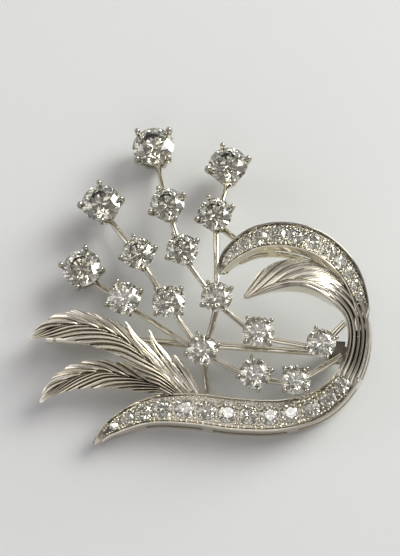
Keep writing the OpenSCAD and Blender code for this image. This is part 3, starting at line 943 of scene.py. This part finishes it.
def small_stones(name, table, row, node):
    """A row of small stones; sines of each stone's number tilt and turn it a little differently"""
    places = []
    for k, (station, width) in enumerate(row):
        tilt = Matrix.Rotation(math.radians(SETTING_TILT * math.sin(2.4 * k)), 4, "X")
        tilt @= Matrix.Rotation(math.radians(SETTING_TILT * math.cos(1.7 * k)), 4, "Y")
        turn = Matrix.Rotation(0.9 * k, 4, "Z")
        seat = ribbon_seat(table, station, GIRDLE_HEIGHT)
        if table is BAND and k in BRIGHT_STONES:
            seat = Matrix.Translation(seat.translation)
            lean = BRIGHT_LEAN + BRIGHT_LEAN_CHANGE * math.sin(k)
            tilt = Matrix.Rotation(math.radians(lean), 4, "Y")
        places.append(seat @ tilt @ turn @ size_of(width / 2 * MM))
    piece = join(name, copies(brilliant_model(), places))
    outward(piece)
    select_only(piece)
    bpy.ops.object.shade_flat()
    finish_piece(piece, pave_diamond, node, slot_name="diamond")


small_stones("band_stones", BAND, band_stones, "pave_band_stones")
small_stones("leaf_stones", PAVE_LEAF, leaf_stones, "pave_leaf_stones")


# %% Grains
GRAIN = 0.2
GRAIN_SMALLEST = 0.55
GRAIN_HEIGHT = -0.14
# Grains in the gap between two stones: [along, across, size], where 1 is a stone's width or a full grain
GRAIN_SPOTS = [(0, 0.27, 1.0), (0, 0.47, 0.8), (-0.22, 0.49, 0.62), (0.22, 0.49, 0.62)]
# Fine grains beside the stones, in mm: how far apart, how deep, how large, and how far from rim and stone
FINE_PITCH = 0.32
FINE_HEIGHT = -0.2
FINE_SMALLEST, FINE_LARGEST, FINE_GROWTH = 0.09, 0.17, 0.25
FINE_INSET, FINE_CLEAR = 0.05, 0.02
# How far out they lie across the bed, how much that changes, and how much their size does
FINE_ACROSS, FINE_WANDER, FINE_UNEVEN = 0.86, 0.12, 0.25
BAND_FINE = (0.7, 6.75)
LEAF_FINE = (1.0, 6.5)


def grain_places(table, row):
    """The grains in each gap between two stones, at both sides"""
    places = []
    for (s, d), (s_next, d_next) in zip(row, row[1:]):
        between = (s * d_next + s_next * d) / (d + d_next)
        mean = (d + d_next) / 2
        smaller = min(d, d_next) / PAVE_LARGEST
        size = GRAIN * (GRAIN_SMALLEST + (1 - GRAIN_SMALLEST) * smaller)
        seat = ribbon_seat(table, between, GRAIN_HEIGHT)
        for side in (-1, 1):
            for along, across, share in GRAIN_SPOTS:
                where = Matrix.Translation((along * mean * MM, side * across * mean * MM, 0))
                places.append(seat @ where @ size_of(size * share * MM))
    return places


def fine_grain_places(table, row, first, last):
    """Fine grains that fill the bed beside the stones; sines of their number make them uneven"""
    places = []
    station = first
    count = 0
    while station < last:
        count += 1
        half = row_at(table, station)[3] / 2 - RIM_WIDTH - FINE_INSET
        for side in (-1, 1):
            across = side * half * (FINE_ACROSS + FINE_WANDER * math.sin(3.1 * count))
            here = on_ribbon(table, station, across, FINE_HEIGHT)
            away = [(here - on_ribbon(table, s, 0, GIRDLE_HEIGHT)).length / MM - d / 2 for s, d in row]
            clear = min(away)
            if clear > FINE_CLEAR:
                size = min(FINE_LARGEST, FINE_SMALLEST + FINE_GROWTH * clear)
                size *= 1 + FINE_UNEVEN * math.sin(5.3 * count)
                places.append(Matrix.Translation(here) @ size_of(size * MM))
        station += FINE_PITCH / speed_at(table, station)
    return places


grain = added(bpy.ops.mesh.primitive_ico_sphere_add, subdivisions=2, radius=1)
places = grain_places(BAND, band_stones) + grain_places(PAVE_LEAF, leaf_stones)
places += fine_grain_places(BAND, band_stones, *BAND_FINE)
places += fine_grain_places(PAVE_LEAF, leaf_stones, *LEAF_FINE)
print("grains", len(places))
grains = join("grains", copies(grain, places))
outward(grains)
smooth(grains, 60)
finish_piece(grains, bright_cut)


# %% [markdown]
# Wires
#
# Stems, claws and loose barbs are all drawn wires: round, and thinner towards one end. The quickest way to
# such a wire is a curve with a round bevel whose radius is set at each point. It is then turned into a mesh.
# All the wires of a piece are splines of one curve.

# %% Helper for wires
def wires(name, paths, sides=3):
    """Round wires; each path is a list of (point in mm, radius in mm), and more sides make them rounder"""
    curve = bpy.data.curves.new(name, "CURVE")
    curve.dimensions = "3D"
    curve.bevel_depth = MM
    curve.bevel_resolution = sides
    curve.use_fill_caps = True
    for path in paths:
        spline = curve.splines.new("POLY")
        spline.points.add(len(path) - 1)
        for point, (where, radius) in zip(spline.points, path):
            point.co = (*(Vector(where) * MM), 1)
            point.radius = radius
    piece = bpy.data.objects.new(name, curve)
    bpy.context.scene.collection.objects.link(piece)
    select_only(piece)
    bpy.ops.object.convert(target="MESH")
    piece = bpy.context.object
    outward(piece)
    smooth(piece, 50)
    return piece


# %% [markdown]
# The feather fronds
#
# A frond is a domed leaf of metal that the chaser cut with a graver: deep cuts part it into barbs that leave
# the midrib at a small angle, and finer lines run along each barb. It could be built from many wires, but the
# real one is closed between its barbs, so it is a grid bent along the frond's curve. The place of each corner
# tells which barb it is on and how far across it, and so how deep it lies.

# %% Fronds
# How far along a barb reaches, in stations, on the spray's side and on the foot's, and how it curves
SPRAY_REACH = 1.5
FOOT_REACH = 2.9
BARB_CURVE = 1.3
BARBS_END = 0.9
SIDES_APART = 0.4
# The leaf: its dome, how high it lies, how its back thins out, and the painted shade at its root
FROND_DOME = 0.5
FROND_RISE = 0.25
FROND_THICKNESS = 0.8
FROND_THINNEST = 0.12
EDGE_THINS = 0.75
TIP_THINS = 1.5
HALF_LEAST = 0.3
ROOT_PAINTED_SHADE, ROOT_FADES = 0.12, (1.2, 3.2)
# What is cut into it, in mm: between barbs, along them, their roll, beside the midrib, and at its edge
FULL_HALF = 1.1
TIP_SHALLOWS = (-0.1, 1.0)
BARB_CUT, CUT_SHARPNESS = 0.42, 2.2
LINE_CUT, LINE_CHANGE = 0.04, 0.6
LINES_PER_BARB = 2
ROLL = 0.12
MIDRIB_CUT, MIDRIB_WIDTH = 0.25, 0.13
SCALLOP, SCALLOP_MIDDLE = 0.09, 0.6
# Where the round tip of the leaf and that of its back begin, in stations
LEAF_START, BACK_START = 0.003, 0.01


def frond(name, table, barbs, tip=0.5, grid=(84, 330)):
    """An engraved leaf with so many barbs on each side; tip is how far its round end reaches, in stations"""
    last = len(table) - 1

    def engraved(share, along):
        """The row, the side from -1 to 1, the half width, the barb's roundness and the depth cut away"""
        station = along * last
        row = row_at(table, station)
        side = 2 * share - 1
        widest = max(row[3] if side > 0 else row[4], HALF_LEAST)
        half = widest * rounded(last - station + LEAF_START, tip)
        reach = SPRAY_REACH if side > 0 else FOOT_REACH
        began = station - reach * abs(side) ** (1 / BARB_CURVE)
        barb = began * barbs / (last - BARBS_END) + (SIDES_APART if side > 0 else 0)
        bump = math.sin(math.pi * (barb % 1))
        depth = min(1, half / FULL_HALF) * bridge(*TIP_SHALLOWS, last - station)
        cut = BARB_CUT * (1 - bump) ** CUT_SHARPNESS
        # sines of a barb's number make its lines and its roll differ from the next one's
        lines = LINE_CUT * (1 - math.cos(math.tau * LINES_PER_BARB * barb))
        lines *= 1 + LINE_CHANGE * math.sin(4.1 * math.floor(barb))
        roll = ROLL * math.sin(7.3 * math.floor(barb)) * math.sin(math.tau * barb)
        midrib = MIDRIB_CUT * math.exp(-((side * half / MIDRIB_WIDTH) ** 2))
        return row, side, half, bump, depth * (cut + lines + midrib + roll)

    def place(share, along):
        row, side, half, bump, relief = engraved(share, along)
        out = forward_at(table, along * last).cross(Vector((0, 0, 1))).normalized()
        wide = half * (1 + SCALLOP * (bump - SCALLOP_MIDDLE) * abs(side) ** 3)
        height = FROND_RISE - FROND_DOME * side**2 * half - relief
        return (Vector(row[:3]) + SHIFT + out * side * wide + Vector((0, 0, height))) * MM

    def body(share, along):
        """Share of the thickness; less under the cuts, so that the back is smooth"""
        _, side, _, _, relief = engraved(share, along)
        full = (1 - EDGE_THINS * abs(side) ** 3) * rounded((1 - along) * last + BACK_START, TIP_THINS)
        return max(full - relief / FROND_THICKNESS, FROND_THINNEST)

    # Painted shade at the frond's root, fading towards its tip
    def painted_shade(_, along):
        return ROOT_PAINTED_SHADE * (1 - bridge(*ROOT_FADES, along * last))

    leaf = shaped_grid(*grid, place, body, painted_shade)
    leaf.name = name
    thicken_down(leaf, FROND_THICKNESS)
    smooth(leaf, 50)
    return leaf


# %% Post under the upper frond
CATCH_POST = Vector((-11.30, -5.83, 4.41))
POST_SIZE = Vector((2.4, 1.2, 1.4))
POST_ROUND = 0.2

post_middle = CATCH_POST + Vector((0, 0, POST_SIZE.z / 2))
post = added(bpy.ops.mesh.primitive_cube_add, size=1, location=post_middle * MM)
post.scale = POST_SIZE * MM
bpy.ops.object.transform_apply(location=False, rotation=False, scale=True)
round_edges(post, POST_ROUND, 3)
apply_modifiers(post)
smooth(post)

# %% Loose barbs and small leaves at the root of the upper frond
# A loose barb's thickness and points; then its share of that at its root, its growth, and its tip
LOOSE_BARBS = [
    (0.4, [(-0.2, -12.0, 3.2), (-0.9, -10.9, 3.7), (-1.5, -9.9, 4.1), (-2.2, -8.9, 4.4), (-2.9, -8.0, 4.6)]),
    (0.36, [(-0.9, -11.8, 3.3), (-1.9, -10.5, 3.8), (-3.0, -9.1, 4.3), (-3.9, -7.9, 4.7), (-4.7, -6.8, 5.0)]),
]
LOOSE_ROOT, LOOSE_SWELL, LOOSE_TIP = 0.75, 0.5, 0.04
UPPER_BARBS, LOWER_BARBS, LEAF_BARBS = 9, 8, 1.3
LEAF_TIP = 2.0
LEAF_GRID = (30, 130)


def pointed(thick, points):
    """A barb that stands free: thickest in the middle and pointed at its far end"""
    shares = [k / (len(points) - 1) for k in range(len(points))]
    radii = [thick * (LOOSE_ROOT + LOOSE_SWELL * q) * (1 - q**4) + LOOSE_TIP for q in shares]
    return [(Vector(point) + SHIFT, radius) for point, radius in zip(points, radii)]


barbs = wires("barbs", [pointed(*barb) for barb in LOOSE_BARBS])
small_leaves = [frond("leaf", middle, LEAF_BARBS, LEAF_TIP, LEAF_GRID) for middle in (LEAF_MIDDLE, LEAF_SIDE)]
upper_frond = join("upper_frond", [frond("leaf", FROND_UPPER, UPPER_BARBS), barbs, post] + small_leaves)
finish_piece(upper_frond, chased, "feather_fronds")
lower_frond = frond("lower_frond", FROND_LOWER, LOWER_BARBS)
finish_piece(lower_frond, chased)

# %% [markdown]
# The claw heads
#
# Each stone stands in an open head: a small foot, a collar under the girdle and four claws whose tips are
# pushed over the crown as beads. One head is modelled for a stone of 2 mm radius and copied to each place.

# %% Claw heads
MODEL_RADIUS = 2.0
FOOT_LOW = 1.4
FOOT_RADIUS = 0.52
FOOT_HEIGHT, FOOT_MIDDLE, FOOT_ROUND = 0.35, 0.17, 0.08
CLAW = 0.2
BEAD, BEAD_OUT, BEAD_UP = 0.29, 0.13, 0.38
COLLAR_RADIUS, COLLAR_WIRE, COLLAR_LOW, COLLAR_TALL = 0.8, 0.14, 0.34, 2.0
# A claw from its root to its tip: [out, up, thickness], as shares of the stone's radius and of CLAW
CLAW_SHAPE = [
    (FOOT_RADIUS, 0.04 - FOOT_LOW, 1.25),
    (0.66, -0.95, 1.1),
    (0.88, -0.5, 1.05),
    (1.06, -0.2, 1.05),
    (1.15, 0.02, 1.05),
    (1.15, 0.12, 1.0),
    (1.08, 0.19, 1.0),
]


def ball(where_mm, radius_mm, segments, rings):
    """A small sphere"""
    return added(
        bpy.ops.mesh.primitive_uv_sphere_add,
        segments=segments,
        ring_count=rings,
        radius=radius_mm * MM,
        location=where_mm * MM,
    )


def head_model():
    """A head at the origin: four claws with their beads, the collar and the foot"""
    r = MODEL_RADIUS
    turns = [Matrix.Rotation(math.pi / 2 * k, 3, "Z") for k in range(4)]
    paths = [
        [(turn @ Vector((out * r, 0, up * r)), CLAW * thick) for out, up, thick in CLAW_SHAPE]
        for turn in turns
    ]
    parts = [wires("claws", paths, 2)]
    parts += [ball(turn @ Vector((r + BEAD_OUT, 0, BEAD_UP)), BEAD, 14, 9) for turn in turns]
    collar = added(
        bpy.ops.mesh.primitive_torus_add,
        major_radius=COLLAR_RADIUS * r * MM,
        minor_radius=COLLAR_WIRE * MM,
        major_segments=36,
        minor_segments=8,
        location=(0, 0, -COLLAR_LOW * r * MM),
    )
    collar.scale.z = COLLAR_TALL
    foot = added(
        bpy.ops.mesh.primitive_cylinder_add,
        vertices=28,
        radius=(FOOT_RADIUS * r + 0.05) * MM,
        depth=FOOT_HEIGHT * MM,
        location=(0, 0, (FOOT_MIDDLE - FOOT_LOW * r) * MM),
    )
    round_edges(foot, FOOT_ROUND, 2)
    apply_modifiers(foot)
    return join("head", parts + [collar, foot])


def head_foot(number):
    """The foot of a head, in mm"""
    return head_axes(number) @ Vector((0, 0, -FOOT_LOW * head_radius(number) * MM)) / MM


# %% Sprays
STEM = 0.34
STRUT = 1.1 * STEM
STRUT_SINKS = 0.3
STEM_BALL = STEM + 0.1


def spray(name, heads, stems, struts, node):
    """One spray: its claw heads, the stems from foot to foot, and the struts that carry it"""
    places = [head_axes(h) @ size_of(head_radius(h) / MODEL_RADIUS) for h in heads]
    claws = join(name + "_claws", copies(head_model(), places))
    smooth(claws)
    finish_piece(claws, claw_metal_painted_dark, node)
    paths = [[(head_foot(a), STEM), (head_foot(b), STEM)] for a, b in stems]
    for h, *end in struts:
        far = Vector(end) + SHIFT
        far += (far - head_foot(h)).normalized() * STRUT_SINKS
        paths.append([(head_foot(h), STRUT), (far, STRUT)])
    balls = [ball(head_foot(h), STEM_BALL, 16, 10) for h in heads]
    piece = join(name + "_stems", [wires("stems", paths)] + balls)
    smooth(piece)
    finish_piece(piece, polished)


spray("upper_spray", UPPER_HEADS, UPPER_STEMS, UPPER_STRUTS, "spray_upper")
spray("lower_spray", LOWER_HEADS, LOWER_STEMS, LOWER_STRUTS, "spray_lower")

# %% [markdown]
# The nodes that stay
#
# The sixteen brilliants, the hinge, the pin and the catch have the right shape in the frame, so they stay and
# only take their finish.

# %% Finish of the frame's own pieces
for name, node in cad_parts.items():
    if node.hide_render:
        continue
    node.data.materials.clear()
    # The hinge bracket takes the dark metal with painted shade
    metal = hinge_metal_painted_dark if name == "hinge_bracket" else polished
    node.data.materials.append(brilliant_diamond if name.startswith("stone_") else metal)

# %% [markdown]
# Table, light and surroundings
#
# The brooch lies on a pale matt surface. The light is soft and comes from the upper right, so shadows fall to
# the left and below. Polished metal shows its surroundings, so these get darker from the walls to the ceiling
# and hold a few bright patches: the patches give the bright lines, and the dark between them the brown ones.

# %% Surface
SURFACE_SIZE = 3
SURFACE_COLOUR = "#dcdcdb"
FIBRE_SIZE, FIBRE_STRENGTH, FIBRE_DEPTH = 2, 0.05, 0.1


def table_surface():
    """Matt paper with very faint fibres"""
    material, tree, shader = new_material("matt_paper_surface")
    normal = bumped(tree, noise(tree, FIBRE_SIZE, 3.0), FIBRE_STRENGTH, FIBRE_DEPTH)
    finish = {"Base Color": linear(SURFACE_COLOUR), "Roughness": 0.6, "Normal": normal}
    set_inputs(tree, shader, finish)
    return material


table = added(bpy.ops.mesh.primitive_plane_add, size=SURFACE_SIZE)
table.name = "table"
table.data.materials.append(table_surface())


# %% Lights
def soft_light(name, where_mm, size_mm, watts, colour):
    """A square light that faces the brooch"""
    where = Vector(where_mm) * MM
    turn = (-where).to_track_quat("-Z", "Y").to_euler()
    light = added(bpy.ops.object.light_add, type="AREA", location=where, rotation=turn)
    light.name = name
    light.data.size = size_mm * MM
    light.data.energy = watts
    light.data.color = linear(colour)[:3]


# Name, place in mm, side in mm, watts, colour
soft_light("window_light", (260, 220, 204), 230, 0.68, "#f7fdf3")
soft_light("low_window", (374, 242, 146), 180, 0.84, "#f7fdf3")
soft_light("left_fill", (-300, 60, 260), 220, 0.05, "#f4f3ff")

# %% Surroundings
ROOM_COLOUR = "#f2f0f2"
# The room's brightness falls from its walls to its ceiling, here by how steeply a direction goes up
ROOM_RISE = (0.25, 0.9)
ROOM_BRIGHTNESS = (0.54, 0.15)
# Patches of light: direction, half angle of the full light, half angle where it ends, brightness
PATCHES = [
    ((0.62, 0.5, 0.62), 14, 20, 4.9),
    ((-0.75, 0.35, 0.6), 10, 16, 1.6),
    ((0.1, -0.78, 0.6), 14, 28, 1.0),
    ((0.03, 0.26, 0.97), 5, 13, 0.9),
    ((0.27, 0.24, 0.93), 3, 8, 3.6),
    ((-0.16, 0.0, 0.985), 5, 12, 0.3),
    ((-0.25, 0.3, 0.9), 3, 6, 1.5),
]

world = bpy.data.worlds.new("room")
world.use_nodes = True
bpy.context.scene.world = world
room = world.node_tree
toward = add_node(room, "TexCoord", {}).outputs["Generated"]


def pale_patch(direction, narrow, wide, brightness):
    """A soft edged patch of light in the room"""
    middle = Vector(direction).normalized()
    facing = add_node(room, "VectorMath", {0: toward, 1: middle}, operation="DOT_PRODUCT")
    edge = [math.cos(math.radians(angle)) for angle in (wide, narrow)]
    return stretched(room, facing.outputs["Value"], edge, (0.0, brightness), "SMOOTHSTEP")


height = add_node(room, "SeparateXYZ", {"Vector": toward}).outputs["Z"]
brightness = stretched(room, height, ROOM_RISE, ROOM_BRIGHTNESS)
for patch in PATCHES:
    both = {0: brightness, 1: pale_patch(*patch)}
    brightness = add_node(room, "Math", both, operation="ADD").outputs[0]
set_inputs(room, room.nodes["Background"], {"Strength": brightness, "Color": linear(ROOM_COLOUR)})

bpy.context.scene.view_settings.view_transform = "Standard"
